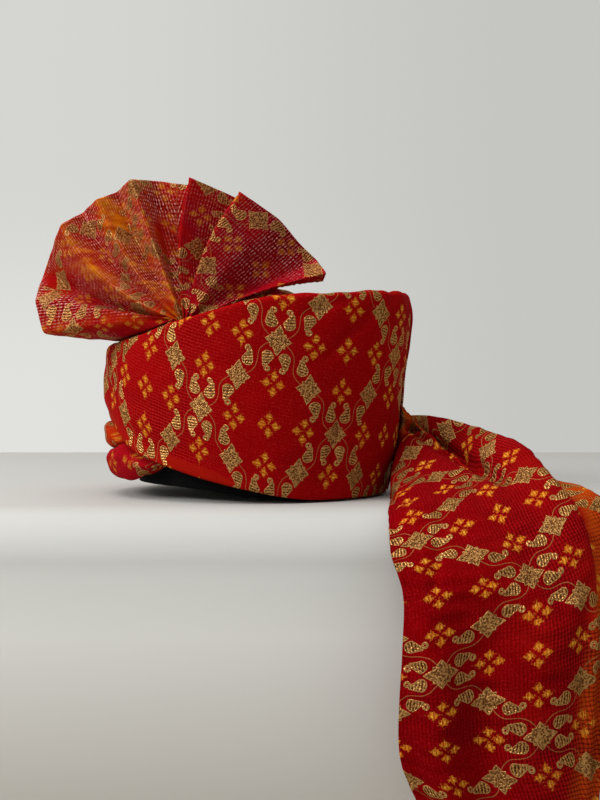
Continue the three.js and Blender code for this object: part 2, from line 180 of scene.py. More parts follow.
# a grid of points as a smooth object, whose front is where along x across points, or its back when turned
def gridObject(name, points, material, turned=False):
    rows, columns = points.shape[:2]
    corner = np.arange(rows * columns).reshape(rows, columns)
    ring = (corner[:-1, :-1], corner[:-1, 1:], corner[1:, 1:], corner[1:, :-1])
    faces = np.stack(ring[::-1] if turned else ring, -1).reshape(-1, 4)
    mesh = bpy.data.meshes.new(name)
    mesh.from_pydata(points.reshape(-1, 3) * mm, [], faces.tolist())
    mesh.polygons.foreach_set("use_smooth", np.ones(len(faces), bool))
    mesh.materials.append(material)
    made = bpy.data.objects.new(name, mesh)
    bpy.context.scene.collection.objects.link(made)
    return made


# a grid of points as a piece that takes a CAD node's place. cloth holds each point's place on the cloth, along
# and across it, and its tint; edge holds its distance from the selvedge, and weave how plainly its threads show
def makePiece(name, points, cloth, material, node, edge=99.0, weave=0.3, thickness=None, turned=False):
    piece = gridObject(name, points, material, turned)
    shape, attributes = points.shape[:2], piece.data.attributes
    place = np.stack([np.broadcast_to(c, shape) for c in cloth], -1).astype(np.float32)
    attributes.new("cloth", "FLOAT_VECTOR", "POINT").data.foreach_set("vector", place.ravel())
    for label, values in (("edge", edge), ("weave", weave)):
        amount = np.ascontiguousarray(np.broadcast_to(values, shape), np.float32)
        attributes.new(label, "FLOAT", "POINT").data.foreach_set("value", amount.ravel())
    mergeSeams(piece)
    if thickness:
        wall = piece.modifiers.new("thickness", "SOLIDIFY")
        wall.thickness, wall.offset = thickness * mm, -1
        wall.use_even_offset = False
    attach(piece, "root")
    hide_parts(node)
    diagonals = np.cross(points[1:, 1:] - points[:-1, :-1], points[1:, :-1] - points[:-1, 1:])
    print(f"{name}: {np.linalg.norm(diagonals, axis=-1).sum() / 2 * mm * mm:.4f} square metres of cloth")
    return piece


# joins the points that lie together, as where a ring closes
def mergeSeams(piece):
    work = bmesh.new()
    work.from_mesh(piece.data)
    bmesh.ops.remove_doubles(work, verts=work.verts, dist=0.02 * mm)
    work.to_mesh(piece.data)
    work.free()
    piece.data.update()


# Materials

# wraps a socket, so that maths on it reads as a sum; tree is the node tree that it is in
class Wire:
    def __init__(self, tree, socket):
        self.tree, self.socket = tree, socket

    def maths(self, operation, *others):
        node = self.tree.nodes.new("ShaderNodeMath")
        node.operation = operation
        for slot, value in zip(node.inputs, (self, *others)):
            plug(self.tree, slot, value)
        return Wire(self.tree, node.outputs[0])

    def __add__(self, other):
        return self.maths("ADD", other)

    def __sub__(self, other):
        return self.maths("SUBTRACT", other)

    def __rsub__(self, other):
        return self.maths("MULTIPLY_ADD", -1.0, other)

    def __mul__(self, other):
        return self.maths("MULTIPLY", other)

    def __truediv__(self, other):
        return self.maths("DIVIDE", other)

    def __pow__(self, other):
        return self.maths("POWER", other)

    def __lt__(self, other):
        return self.maths("LESS_THAN", other)

    def __gt__(self, other):
        return self.maths("GREATER_THAN", other)

    def __abs__(self):
        return self.maths("ABSOLUTE")

    __radd__, __rmul__ = __add__, __mul__

    def least(self, other):
        return self.maths("MINIMUM", other)

    def most(self, other):
        return self.maths("MAXIMUM", other)

    def sine(self, pitch):
        return (self * (2 * np.pi / pitch)).maths("SINE")

    def wrapped(self, half):
        return self.maths("WRAP", half, -half)

    # 0 where it is below low, 1 above high, and smooth between; low may be the larger one
    def step(self, low, high):
        node = self.tree.nodes.new("ShaderNodeMapRange")
        node.interpolation_type = "SMOOTHSTEP"
        for slot, value in zip(node.inputs, (self, low, high, 0.0, 1.0)):
            plug(self.tree, slot, value)
        return Wire(self.tree, node.outputs[0])


# links a wire to a socket, or sets the socket's own value
def plug(tree, slot, value):
    if isinstance(value, Wire):
        tree.links.new(value.socket, slot)
    else:
        slot.default_value = value


# a colour as it looks on screen, 0 to 255, turned into the linear numbers that a shader takes
def srgb(red, green, blue):
    values = np.array([red, green, blue]) / 255
    linear = np.where(values <= 0.04045, values / 12.92, ((values + 0.055) / 1.055) ** 2.4)
    return (*linear.tolist(), 1.0)


class Finish:
    def __init__(self, name):
        self.material = bpy.data.materials.new(name)
        self.material.use_nodes = True
        self.tree = self.material.node_tree
        self.tree.nodes.clear()

    # any node: settings are set first, then its sockets by number or name; gives back one output
    def node(self, kind, settings=None, inputs=None, output=0):
        made = self.tree.nodes.new(kind)
        for key, value in (settings or {}).items():
            if key == "stops":
                ramp = made.color_ramp.elements
                ramp.remove(ramp[1])
                ramp[0].position, ramp[0].color = value[0]
                for place, colour in value[1:]:
                    ramp.new(place).color = colour
            else:
                setattr(made, key, value)
        for key, value in (inputs or {}).items():
            plug(self.tree, made.inputs[key], value)
        return Wire(self.tree, made.outputs[output])

    def mix(self, share, first, second):
        return self.node("ShaderNodeMix", {"data_type": "RGBA"}, {0: share, 6: first, 7: second}, 2)

    def place(self):
        return self.node("ShaderNodeTexCoord", output="Object")

    def attribute(self, name, output="Fac"):
        return self.node("ShaderNodeAttribute", {"attribute_name": name}, output=output)

    # a vector's three parts
    def parts(self, vector):
        split = self.node("ShaderNodeSeparateXYZ", {}, {0: vector}).socket.node
        return [Wire(self.tree, part) for part in split.outputs]

    def noise(self, scale, detail=2.0):
        inputs = {"Vector": self.place(), "Scale": scale, "Detail": detail}
        return self.node("ShaderNodeTexNoise", {}, inputs, "Fac")

    def ramp(self, share, stops):
        return self.node("ShaderNodeValToRGB", {"stops": stops}, {0: share})

    def bump(self, strength, depth, height):
        return self.node("ShaderNodeBump", {}, {"Strength": strength, "Distance": depth * mm, "Height": height})

    def surface(self, settings):
        shader = self.node("ShaderNodeBsdfPrincipled", {}, settings)
        out = self.tree.nodes.new("ShaderNodeOutputMaterial")
        self.tree.links.new(shader.socket, out.inputs["Surface"])
        return self.material


# the print: a lattice of diamonds, drawn with stars, vines and paisleys in gold, round four-petalled flowers.
# u and v are millimetres along and across the cloth. Stars stand where u is 24m and v 30n, with m + n even,
# apart from each diamond's middle.
lattice = {
    "halfLong": 48.0, "halfWide": 60.0,
    # half width and half length of a star's leaves: upright, side and slanted
    "leaves": [(4.2, 11.0), (4.6, 8.8), (3.6, 7.3)], "slant": 0.707,
    "vine": {"bend": 0.0033, "thinning": 0.0075, "halfWidth": 0.22, "halfLength": 12.5, "share": 0.5},
    "paisley": {"fat": (6.3, -2.7), "neck": (5.0, 3.4), "fatRadius": 4.1, "neckRadius": 1.6,
                "curl": (6.9, 5.7), "curlRadius": 2.2, "curlHole": 0.7},
    "flower": {"upperAt": 5.6, "upper": (2.7, 3.7), "outerAt": 4.7, "outer": (3.0, 3.2)},
    "diamondPitch": 1.7, "stripePitch": 1.95,
}


# negative inside a leaf: across / half width + (along / half length)^2 - 1
def leafShape(across, along, size):
    return across / size[0] + (along / size[1]) ** 2.0 - 1


# gives how much foil covers a place, the foil's outline, its light and dark, and the flowers, negative inside
def latticePrint(u, v):
    long, wide = lattice["halfLong"], lattice["halfWide"]
    firstU, firstV = abs(u.wrapped(long)), abs(v.wrapped(wide))
    nextU, nextV = abs((u + long).wrapped(long)), abs((v + wide).wrapped(wide))
    inFirst = (firstU / long + firstV / wide) < 1
    x = nextU + (firstU - nextU) * inFirst       # folded place in the diamond, 0 to long
    y = nextV + (firstV - nextV) * inFirst       # and 0 to wide
    column = (x / (long / 2)).maths("ROUND")

    # star: an upright leaf, a side leaf and a slanted one
    starX = abs(x - column * (long / 2))
    starY = abs(y - wide + column * (wide / 2))
    upright, sideways, slanted = lattice["leaves"]
    away, beside = abs(starX - starY) * lattice["slant"], (starX + starY) * lattice["slant"]
    star = leafShape(starX, starY, upright).least(leafShape(starY, starX, sideways))
    star = star.least(leafShape(away, beside, slanted))

    # between stars, a vine (an odd cubic) with a paisley on each side; one is the other turned half round
    half = (x / (long / 2)).maths("FLOOR")
    alongX = x - long / 4 - half * (long / 2)
    alongY = y - wide * 0.75 + half * (wide / 2)
    px, py = abs(alongX), alongY * alongX.maths("SIGN")
    vine = lattice["vine"]
    slope = 1 + abs(py ** 2) * vine["thinning"]
    bent = px + (py ** 3) * vine["bend"]
    stem = (abs(bent) / slope - vine["halfWidth"]).most(abs(py) - vine["halfLength"])

    # paisley: a circle that shrinks on its way from the fat end to the neck, then a ring for the curl
    shape = lattice["paisley"]
    (fatX, fatY), (neckX, neckY), (curlX, curlY) = shape["fat"], shape["neck"], shape["curl"]
    axisX, axisY = neckX - fatX, neckY - fatY
    reach = axisX ** 2 + axisY ** 2
    share = ((px - fatX) * (axisX / reach) + (py - fatY) * (axisY / reach)).most(0).least(1)
    bodyX, bodyY = px - fatX - share * axisX, py - fatY - share * axisY
    narrowing = shape["fatRadius"] - shape["neckRadius"]
    body = (bodyX ** 2 + bodyY ** 2) ** 0.5 - shape["fatRadius"] + share * narrowing
    curl = ((px - curlX) ** 2 + (py - curlY) ** 2) ** 0.5
    paisley = body.least(curl - shape["curlRadius"]).most(shape["curlHole"] - curl)

    leaf = (star * 3.6).least(paisley)           # a star's measure brought to about millimetres
    line = stem.step(0.2, -0.2)
    mask = leaf.step(0.22, -0.22).most(line * vine["share"])
    outline = (leaf.step(-0.9, -0.3) * leaf.step(0.3, -0.1)).most(line)
    diamonds = (u + v).sine(lattice["diamondPitch"]) * (u - v).sine(lattice["diamondPitch"])
    stripes = (py * 0.98 + px * 0.2).sine(lattice["stripePitch"])
    pattern = diamonds + (stripes * 1.5 - diamonds) * paisley.step(0.0, -0.2)

    # flowers: at the diamond's middle, halfway to its long ends and halfway to its wide ones
    flower = lattice["flower"]
    lifted = (y > wide * 0.24) * (x < long / 4)
    flowerX = abs(x - column * (long / 2))
    flowerY = abs(y - lifted * (wide * 0.485))
    upper = flowerX / flower["upper"][0] + abs(flowerY - flower["upperAt"]) / flower["upper"][1] - 1
    outer = abs(flowerX - flower["outerAt"]) / flower["outer"][0] + flowerY / flower["outer"][1] - 1
    petals = upper.least(outer) + (x > long * 0.75) * 9   # none at the long ends, where a star is
    return mask, outline, pattern, petals


# scales of the noises, how far they shift the print and the threads in millimetres, and the bump's size
weaving = {"grain": 1100, "speckle": 820, "shift": 90, "uneasy": 130, "shiftBy": (1.6, 1.2), "uneasyBy": 1.7,
           "bumpStrength": 0.8, "bumpDepth": 1.0}


# one printed cloth. tint, the third part of the cloth attribute, picks its colour from the look's ramp;
# the weave attribute, 0 to 1, says how plainly its ribs, threads and open places show
def printedCloth(name, look):
    f = Finish(name)
    u, v, tint = f.parts(f.attribute("cloth", "Vector"))
    edge, weave = f.attribute("edge"), f.attribute("weave")
    shift = f.noise(weaving["shift"]) - 0.5
    shiftU, shiftV = weaving["shiftBy"]
    mask, outline, pattern, petals = latticePrint(u + shift * shiftU, v + shift * shiftV)

    # ribs along the cloth and threads across it: sharp lines, which come and go in patches
    patches = f.noise(look["patchScale"], 1.0)
    grain, speckle = f.noise(weaving["grain"], 1.0), f.noise(weaving["speckle"], 0.0)
    uneasy = (f.noise(weaving["uneasy"], 2.0) - 0.5) * weaving["uneasyBy"]
    ribs, threads = (v + uneasy).sine(look["ribPitch"]), (u + uneasy).sine(look["threadPitch"])
    presence = weave * (0.45 + patches.step(0.36, 0.64) * 0.65)
    darkLines = ribs.step(0.1, -0.9) * look["ribDark"] + threads.step(0.0, -0.9) * look["threadDark"]
    darkLines = darkLines * presence
    lightLines = ribs.step(0.2, 1.0) * presence * look["ribLight"]

    ground = f.ramp(tint, look["ramp"])
    ground = f.mix(patches.step(0.3, 0.75) * 0.4 + grain * 0.2, ground, look["shade"])
    ground = f.mix(lightLines * (0.4 + grain), ground, look["ribAndSheenColour"])
    ground = f.mix(darkLines * (0.3 + grain * 1.3), ground, look["lineColour"])
    ground = f.mix(grain.step(0.52, 0.72) * 0.4, ground, look["ribAndSheenColour"])      # light grains: painted sheen on the threads
    # open places: short light dashes where a rib and a thread cross, in some patches only; painted light, the
    # light seen through the open weave
    dashes = (ribs.step(0.1, 0.9) * threads.step(-0.6, 0.7)).most(ribs.step(0.6, 1.0) * 0.4)
    dashes = dashes * speckle.step(0.34, 0.6) * patches.step(0.3, 0.56) * weave * look["holes"]
    ground = f.mix(dashes.least(0.9), ground, look["lightThroughHolesColour"])
    band = edge.step(look["band"] + 0.6, look["band"] - 0.6)
    ground = f.mix(band * 0.9, ground, look["bandColour"])

    # petals: broken up by the ribs, darker between them
    ragged = petals + (speckle - 0.5) * 1.7 + ribs * 0.16
    petal = ragged.step(0.2, -0.2) * look["flowerShare"]
    petalColour = f.mix(speckle.step(0.35, 0.65), look["flowerEdge"], look["flower"])
    petalColour = f.mix(ribs.step(0.3, -0.7) * 0.75, petalColour, look["flowerCore"])
    ground = f.mix(petal, ground, petalColour)

    # foil: grains of light and dark, with a light outline
    grains = speckle.step(0.34, 0.66) * 0.5 + pattern * 0.22 + grain * 0.4
    foilColour = f.mix(grains.step(0.0, 0.95).most(outline * 0.85), look["foilDark"], look["foilLight"])
    worn = mask * (grain + patches * 0.3).step(0.18, 0.4) * look["foilShare"]
    colour = f.mix(worn, ground, foilColour)

    height = ((ribs * 0.05 + threads * 0.035) * (0.2 + presence) + (grain - 0.5) * 0.07 + mask * 0.12
              + mask * grains * 0.7 + petal * 0.03)
    return f.surface({
        "Base Color": colour,
        "Metallic": worn * 0.7,
        "Roughness": 0.85 - worn * look["foilPolish"],
        "Normal": f.bump(weaving["bumpStrength"], weaving["bumpDepth"], height),
        "Specular IOR Level": 0.02,
        "Specular Tint": srgb(214, 150, 84),
    })


redLook = {
    "ramp": [(0.0, srgb(158, 3, 7)), (0.5, srgb(190, 26, 10)), (1.0, srgb(206, 78, 14))],
    "shade": srgb(132, 1, 6), "ribAndSheenColour": srgb(196, 42, 38), "lineColour": srgb(84, 0, 4),
    "ribPitch": 2.35, "threadPitch": 2.7, "ribLight": 0.42, "ribDark": 0.34, "threadDark": 0.3,
    "patchScale": 14, "holes": 0.0, "lightThroughHolesColour": srgb(240, 190, 184),
    "band": 9.0, "bandColour": srgb(164, 22, 12), "flowerShare": 1.0,
    "flower": srgb(232, 168, 56), "flowerEdge": srgb(210, 112, 28), "flowerCore": srgb(150, 54, 12),
    "foilDark": srgb(88, 46, 20), "foilLight": srgb(214, 160, 94), "foilShare": 0.94, "foilPolish": 0.6,
}
fanLook = {
    **redLook,
    "ramp": [(0.0, srgb(148, 4, 28)), (0.4, srgb(164, 12, 8)), (0.72, srgb(180, 54, 4)),
             (1.0, srgb(222, 134, 12))],
    "shade": srgb(150, 14, 12), "ribLight": 0.15, "ribDark": 0.55, "threadDark": 0.5, "threadPitch": 3.1,
    "holes": 1.0, "patchScale": 34, "band": -5.0, "flowerShare": 0.6, "foilShare": 0.8,
}
tailLook = {
    **redLook,
    "ramp": [(0.0, srgb(130, 1, 5)), (0.5, srgb(180, 28, 8)), (1.0, srgb(206, 84, 12))],
    "shade": srgb(98, 0, 5), "ribAndSheenColour": srgb(196, 26, 34), "ribLight": 0.5, "ribDark": 0.5,
    "threadDark": 0.6, "threadPitch": 2.5, "patchScale": 20,
}

redCloth = printedCloth("red_printed_cloth", redLook)
tailPrint = printedCloth("tail_printed_cloth", tailLook)
fanCloth = printedCloth("fan_printed_cloth", fanLook)
print("cloth materials made")


# matt black with fine level threads
def capFelt():
    f = Finish("black_cap_cloth")
    grain, patches = f.noise(900, 3.0), f.noise(30)
    z = f.parts(f.place())[2]
    threads = z.sine(0.9 * mm)
    colour = f.mix(grain * 0.6 + patches * 0.3, srgb(3, 3, 4), srgb(14, 13, 14))
    return f.surface({"Base Color": colour, "Roughness": 0.9 - patches * 0.1, "Specular IOR Level": 0.12,
                      "Normal": f.bump(0.5, 0.4, grain + threads * 0.3)})


blackCloth = capFelt()


# Outer wraps

wraps = {
    "near": {"from": -16, "to": 205, "tuckFrom": 16, "tuckTo": 6, "rootDepth": 3.5, "side": 1},
    "far": {"from": -4, "to": 205, "tuckFrom": 145, "tuckTo": 151, "rootDepth": 0, "side": -1},
    "headings": 330, "wallSteps": 62, "lipSteps": 22, "lipDrop": 3.6, "footHeight": 12.0, "tuckLift": 2.0,
    # the print's place on the wall: its share of each way along the cloth, then its start; the far side's shift
    "turnShare": (1.044, -0.097, 42.3), "crossShare": (0.043, 1.0, 9.9), "farShift": (31.0, 17.0),
    "curl": 3.0, "curlFrom": (138, 158),             # how far the selvedge curls in at the brow, and where
    "bandFrom": (84, 108), "bandTo": (138, 152), "bandFade": 12.0,
    "weaveFrom": (84, 118), "orangeFrom": (136, 160),
    "degree": 1.85,                                  # about the millimetres of wall in a degree of heading
    "grooves": [   # heading, height to heading, height, then depth and width
        (62, 6, 57, 60, 1.6, 5), (64, 100, 40, 146, 1.6, 4), (52, 120, 30, 150, 1.4, 3.5),
        (75, 128, 54, 144, 1.0, 3), (120, 60, 165, 86, 0.9, 7), (110, 30, 150, 48, 0.8, 6),
        (150, 66, 172, 104, 1.2, 5), (86, 18, 96, 70, 0.8, 8),
    ],
}


# up the wall from the selvedge, then round a lip: a circle's arc from the wall over and inward
def wrapSurface(ends, heading, rise, onWall):
    side = ends["side"]
    lower, upper = tableAt(wrapRows, heading)
    tucked = (ease(heading, ends["tuckFrom"], ends["tuckTo"]) if ends["tuckTo"] > ends["tuckFrom"]
              else 1 - ease(heading, ends["tuckTo"], ends["tuckFrom"]))
    top = upper - wraps["lipDrop"] * tucked
    lower = lower + wraps["tuckLift"] * tucked
    z = lerp(lower, top - shared["lipRadius"], np.minimum(1, rise))
    depth = (shared["wrapThickness"] + shared["gap"]
             + ends["rootDepth"] * ease(z, wraps["footHeight"], wraps["footHeight"] + 8))
    deep = -depth * tucked
    lipShare = np.clip(rise - 1, 0, 1)
    turn = np.radians(shared["lipTurn"]) * lipShare
    rolled = 1 - ease(heading, *shared["lipEnds"])
    inward = shared["lipRadius"] * (1 - np.cos(turn)) * rolled
    lift = shared["lipRadius"] * lerp(lipShare, np.sin(turn), rolled)
    point = wallPoint(side * heading, np.where(onWall, z, top - shared["lipRadius"] + lift), deep - inward)
    return point, z, tucked


# place on the print, from the way along a cloth and across it
def printPlace(sizes, first, second):
    u, v = (a * first + b * second + start for a, b, start in (sizes["turnShare"], sizes["crossShare"]))
    return u, v


# one outer wrap: the surface above, moved along its normals by waves and grooves and curled in at the brow
def makeWrap(name, ends, seed, node):
    heading = np.linspace(ends["from"], ends["to"], wraps["headings"])[None, :]
    rise = np.concatenate([np.linspace(0, 1, wraps["wallSteps"], endpoint=False),
                           np.linspace(1, 2, wraps["lipSteps"])])[:, None]
    heading, rise = np.broadcast_arrays(heading, rise)
    points, z, tucked = wrapSurface(ends, heading, rise, rise < 1)
    outward = -normals(points) * ends["side"]
    run = arcLength(points, 0)                        # up from the selvedge
    along = arcLength(points[:1], 1)
    along = np.interp(90.0, heading[0], along[0]) - along   # towards the nape
    u, v = printPlace(wraps, along, run)
    if ends["side"] < 0:
        u, v = u + wraps["farShift"][0], v + wraps["farShift"][1]
    # soft waves in the cloth, with shallow grooves, fading out at the selvedge
    waves = 0.55 * uneven(along, run, 62, seed) + 0.22 * uneven(along, run * 1.6, 21, seed + 1)
    waves = waves + 0.5 * uneven(along * 1.3, run * 0.5, 26, seed + 2) * ease(run, 105, 140)
    degree = wraps["degree"]
    rows = [(a * degree, b, c * degree, d, e, w) for a, b, c, d, e, w in wraps["grooves"]]
    waves = waves + grooves(heading * degree, z, rows)
    free = 1 - tucked
    waves = waves * ease(run, 0, 14) * free
    waves = waves - wraps["curl"] * ease(heading, *wraps["curlFrom"]) * (1 - ease(run, 0, 15)) * free
    points = points + outward * waves[..., None]
    tint = 0.16 * ease(heading, 120, 175) + 0.05 * uneven(along, run, 50, seed + 4)
    tint = tint + 0.55 * ease(heading, *wraps["orangeFrom"]) * ease(-run, -22, -8)
    weave = 0.2 + 0.8 * ease(heading, *wraps["weaveFrom"]) * ease(-run, -135, -95)
    fade = 1 - ease(heading, *wraps["bandFrom"]) + ease(heading, *wraps["bandTo"])
    return makePiece(name, points, (u, v, tint), redCloth, node,
                     edge=run + wraps["bandFade"] * fade, weave=weave, thickness=shared["wrapThickness"],
                     turned=ends["side"] > 0)


nearWrap = makeWrap("near_wrap_cloth", wraps["near"], 3, "near_wrap")
farWrap = makeWrap("far_wrap_cloth", wraps["far"], 23, "far_wrap")
print("outer wraps made")


# Brow rolls

rolls = {"bulge": {"lower": 4.0, "upper": 2.0}, "depth": 12.0, "slices": 72, "stacks": 220,
         "foldDepth": 0.5, "foldPitch": 16.0}


# a padded fold: its section is a rounded oval between the roll's heights, and its ends narrow to points
def makeRoll(name, low, high, bulge, tint, node, shift):
    half = rollRows[0, 0]
    around = np.linspace(0, 1, rolls["slices"] + 1)[None, :]
    length = np.linspace(0, 1, rolls["stacks"] + 1)[:, None]
    around, length = np.broadcast_arrays(around, length)
    heading = lerp(half, 360 - half, length)
    row = tableAt(rollRows, folded(heading))
    taper = np.sqrt(np.maximum(0, 1 - (2 * length - 1) ** 8))
    turn = np.pi * (1 - 2 * around)              # the seam lies behind
    middle, tall = (row[low] + row[high]) / 2, (row[high] - row[low] - shared["gap"]) / 2 * taper
    z = middle + tall * np.sign(np.sin(turn)) * np.abs(np.sin(turn)) ** 0.8
    lowerEdge = tableAt(wrapRows, folded(heading))[0]
    covered = ease(z, lowerEdge - 8, lowerEdge - 2)
    face = lerp(bulge, -(2 * shared["wrapThickness"] + 3 * shared["gap"]), covered)
    deep = (face + rolls["depth"]) / 2 * taper
    points = wallPoint(heading, z, (face - rolls["depth"]) / 2 + deep * np.cos(turn))
    along, across = arcLength(points, 0), arcLength(points, 1)
    along = along[:, :1] + 0 * along
    # folds that run slantwise over the roll
    folds = rolls["foldDepth"] * uneven(along * 0.5, across * 1.3, rolls["foldPitch"], 41 + low) * taper
    points = points + normals(points, True) * folds[..., None]
    front = across[:, rolls["slices"] // 2][:, None]
    return makePiece(name, points, (along + shift, across - front, tint), fanCloth, node, weave=0)


lowerRoll = makeRoll("lower_brow_roll", 0, 1, rolls["bulge"]["lower"], 0.12,
                     "brow_roll_lower", 33.0)
upperRoll = makeRoll("upper_brow_roll", 1, 2, rolls["bulge"]["upper"], 0.6,
                     "brow_roll_upper", 60.0)
print("brow rolls made")


# Crown

crown = {"gathers": 14, "depth": 1.8, "creases": 37, "creaseDepth": 0.9, "around": 420, "out": 60, "inset": 9.5,
         "pocket": 15.0, "sunk": 8.0, "curve": 2.4,
         # height of the swell beside the fan's foot, its heading and way out, and its spread in each
         "swell": 7.0, "swellAt": (87, 0.66), "swellSpread": (19, 0.2)}


# a low dome, crownHeight at the middle and falling with a power of the way out, waved by its gathers
def makeCrown():
    around = np.linspace(0, 1, crown["around"] + 1)[None, :]
    inward = np.linspace(0, 1, crown["out"] + 1)[:, None]
    around, inward = np.broadcast_arrays(around, inward)
    heading, out = 360 * (1 - around), 1 - inward
    inset = crown["inset"] + crown["pocket"] * ease(heading, 96, 106) * (1 - ease(heading, 130, 140))
    edge = tableAt(wrapRows, folded(heading))[1] - crown["sunk"]
    rim = wallPoint(heading, edge, -inset)
    turn = np.radians(heading)
    wave = crown["depth"] * np.cos(turn * crown["gathers"])
    wave = wave + crown["creaseDepth"] * np.cos(turn * crown["creases"] + 3 * np.sin(turn * 3))
    z = lerp(shared["crownHeight"], edge, out ** crown["curve"]) + wave * 4 * out * (1 - out)
    (atHeading, atOut), (headingSpread, outSpread) = crown["swellAt"], crown["swellSpread"]
    away = ((heading - atHeading) / headingSpread) ** 2 + ((out - atOut) / outSpread) ** 2
    z = z + crown["swell"] * np.exp(-away)
    points = np.stack([rim[..., 0] * out, rim[..., 1] * out, z], -1)
    u, v = turn * 95, arcLength(points, 0)
    tint = 0.1 + 0.1 * uneven(u, v, 60, 71)
    return makePiece("crown_cloth", points, (u, v, tint), redCloth, "crown_top",
                     thickness=shared["sheetThickness"])


crownCloth = makeCrown()


# Cap

cap = {"sideShare": 0.4, "around": 240, "up": 60, "shoulder": 12.0, "topDrop": 5.0, "curve": 2.6}


# straight oval sides from the rim to a shoulder, then a dome that falls with a power of the way out
def makeCap():
    around = np.linspace(0, 1, cap["around"] + 1)[None, :]
    up = np.linspace(0, 1, cap["up"] + 1)[:, None]
    around, up = np.broadcast_arrays(around, up)
    heading = 360 * (1 - around)
    length = shared["headLength"] / 2 + shared["capThickness"]
    width = shared["headWidth"] / 2 + shared["capThickness"]
    shoulder = tableAt(wrapRows, folded(heading))[1] - cap["shoulder"]
    rim = tableAt(rimRows, folded(heading))[0]
    side = lerp(rim, shoulder, up / cap["sideShare"])
    out = np.clip(1 - (up - cap["sideShare"]) / (1 - cap["sideShare"]), 0, 1)
    dome = lerp(shared["crownHeight"] - cap["topDrop"], shoulder, out ** cap["curve"])
    z = np.where(up <= cap["sideShare"], side, dome)
    points = ovalPoint(heading, length * out, width * out, z)
    makePiece("black_cap", points, (heading, z, 0.0), blackCloth, "inner_cap",
              thickness=shared["capThickness"])


makeCap()


# Wound inner turns

layers = {"around": 260, "turns": 5, "ridge": 1.4, "pocket": 15.0, "footLift": 4.0, "sunk": 11.0,
          "browRoom": 2.8, "napeRoom": 2.5, "napeRootRoom": 3.5}


# a ring whose section goes up its outer face and down its inner one, with a ridge for each turn of cloth
def makeLayers():
    capLength = shared["headLength"] / 2 + shared["capThickness"] + shared["gap"]
    capWidth = shared["headWidth"] / 2 + shared["capThickness"] + shared["gap"]
    heading = np.linspace(0, 360, layers["around"] + 1)[:, None]
    rollsAt = tableAt(rollRows, np.maximum(folded(heading), rollRows[0, 0]))
    lower, upper = tableAt(wrapRows, folded(heading))
    # room for the fan's foot
    pocket = layers["pocket"] * ease(heading, 104, 110) * (1 - ease(heading, 126, 132))
    foot = np.minimum(lower, rollsAt[0]) + layers["footLift"]
    top, shelf = upper - layers["sunk"] - pocket, rollsAt[2] + 1.5

    def underWraps(z):
        atBrow, atNape = ease(folded(heading), 134, 142), 1 - ease(folded(heading), 20, 30)
        atRoot = layers["napeRoom"] + layers["napeRootRoom"] * ease(z, 11, 19)
        return shared["wrapThickness"] + 2 * shared["gap"] + layers["browRoom"] * atBrow + atRoot * atNape

    def besideRolls(z):
        start = rollRows[0, 0]
        return lerp(underWraps(z), rolls["depth"] + shared["gap"], ease(folded(heading), start - 10, start - 3))

    outerLow = [foot, (foot + shelf) / 2, shelf]
    outerHigh = [shelf + 3, (shelf + top) / 2, top]
    outer = [wallPoint(heading, z, -besideRolls(z)) for z in outerLow]
    outer += [wallPoint(heading, z, -underWraps(z)) for z in outerHigh]
    inner = [ovalPoint(heading, capLength, capWidth, z) for z in (top, (foot + top) / 2, foot)]
    under = []
    for step in range(1, layers["turns"] * 4):   # along the underside, from the cap out to the wall
        share = step / (layers["turns"] * 4)
        ridge = layers["ridge"] * (np.cos(2 * np.pi * layers["turns"] * share) - 1)
        under.append(lerp(inner[-1], outer[0], share) - np.array([0, 0, ridge]))
    points = np.concatenate(outer + inner + under + [outer[0]], axis=1)
    along, across = arcLength(points, 0), arcLength(points, 1)
    makePiece("wound_layers", points, (along[:, :1] + 0 * along, across, 0.05), redCloth,
              "inner_layers")


makeLayers()
print("crown, cap and inner turns made")


# Fan

# angle and length of each fold line from its foot, how far the rim lies behind the foot, its sideways bow,
# how much deeper the soft cloth lies there, its tint and how plainly its weave shows
fanRows = np.array([
    (193, 57, 40, 3.5, 2, 0.0, 0.5), (189.5, 75, 32, 4, 0, 0.05, 0.5), (185, 106, 22, -2, -1, 0.5, 0.2),
    (171.7, 114, 24, 0, 0, 0.42, 1.0), (159.5, 117.5, 34, 8, 5, 0.34, 0.8), (142.2, 114.5, 14, 11, -2, 0.85, 0.3),
    (133.4, 114, 24, 8, 4, 0.6, 0.7), (125.8, 110, 15, 6, -1, 0.8, 0.5), (118.4, 111, 21, 3, 5, 0.72, 0.9),
    (110.6, 108.2, 6, 0, -2, 0.88, 0.4), (102.9, 108.4, 20, 2, 4, 0.55, 1.0), (85.5, 102, 18, 4, 6, 0.35, 0.8),
    (88, 103.5, 7, 6.5, -2, 0.34, 0.1), (62.5, 100, 14, 4, 7, 0.0, 0.7), (65.7, 99.5, -4, 8, -2, 0.22, 0.1),
    (46.3, 100.6, 4, 3, 0, 0.05, 0.8), (33.1, 102, 10, 2, 4, 0.1, 1.0), (25.5, 106.8, 14, 0, 4, 0.05, 0.6),
    (17.8, 108.7, 2, 3, -1, 0.16, 0.2), (15.5, 105, 8, 5, 0, 0.1, 0.1),
], float)
fan = {"foot": np.array([-52.0, -80.0, 128.0]), "pitch": 0.8, "wave": 1.8, "drop": 15.0, "stem": 0.14,
       "panelSteps": 12, "reachSteps": 110, "printStart": -30.0,
       # fold lines on which the print is measured, and its place there; a panel follows the nearer one
       "ridges": [2, 5, 7, 9, 12, 14], "ridgePlaces": [-238.0, -172.0, -128.0, -90.0, -45.0, 14.0],
       "rightStart": 14, "rightTurn": 65.5, "rightFrom": (42.0, 24.0, 30.0),
       "rightAlong": (0.935, -0.474), "rightAcross": (0.278, 1.057),
       "deepen": 1.6, "crumple": 0.4, "crumplePitch": 17.0}


